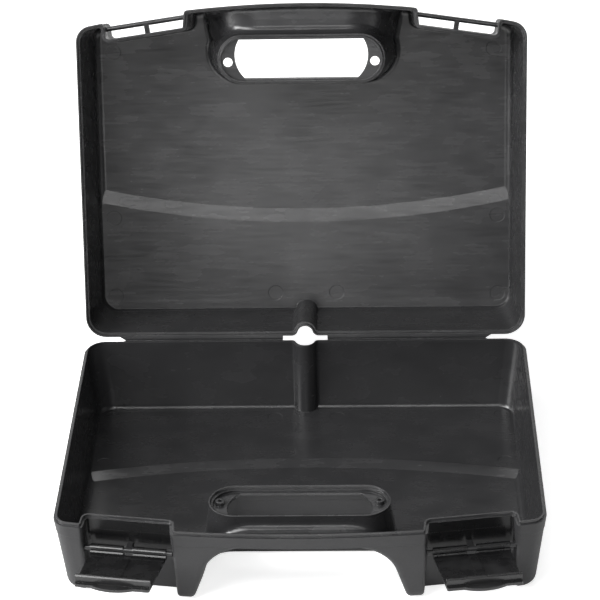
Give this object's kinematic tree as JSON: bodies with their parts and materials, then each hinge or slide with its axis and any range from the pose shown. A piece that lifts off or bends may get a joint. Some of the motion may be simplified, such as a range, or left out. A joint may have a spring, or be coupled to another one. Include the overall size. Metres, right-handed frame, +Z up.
{
  "type": "hard tool case",
  "caption": "Hard plastic tool case with film-hinged lid, through-cut hand grip in the front edge and clip latches in front recesses.",
  "frame": {"origin": "middle of the flat underside, half way between the hinge line and the middle of the front edge", "axes": "+Z up out of the base, -Y to the front where the latches and the hand grip are, +X to the right seen from the front"},
  "size_m": [0.35, 0.4381, 0.3175],
  "materials": {
    "case_shell": "fine spark-eroded grain outside, satin inside",
    "latch": "smooth"
  },
  "bodies": {
    "base": {"base_shell": "case_shell", "hinge_film_left": "case_shell", "hinge_film_right": "case_shell"},
    "lid": {"lid_shell": "case_shell"},
    "latch_left": {"latch_left": "latch"},
    "latch_right": {"latch_right": "latch"}
  },
  "joints": [
    {"name": "lid_hinge", "type": "hinge", "parent": "base", "child": "lid", "pos_m": [0, 0.134, 0.0612], "axis": [-1, 0, 0], "range_deg": [-107, 73], "deforming": ["hinge_film_left", "hinge_film_right"]},
    {"name": "latch_left_pivot", "type": "hinge", "parent": "base", "child": "latch_left", "pos_m": [-0.1218, -0.11736, 0.0397], "axis": [0.9897, -0.1433, 0], "range_deg": [-80.5, 45]},
    {"name": "latch_right_pivot", "type": "hinge", "parent": "base", "child": "latch_right", "pos_m": [0.1218, -0.11736, 0.0397], "axis": [0.9897, 0.1433, 0], "range_deg": [-80.5, 45]}
  ]
}
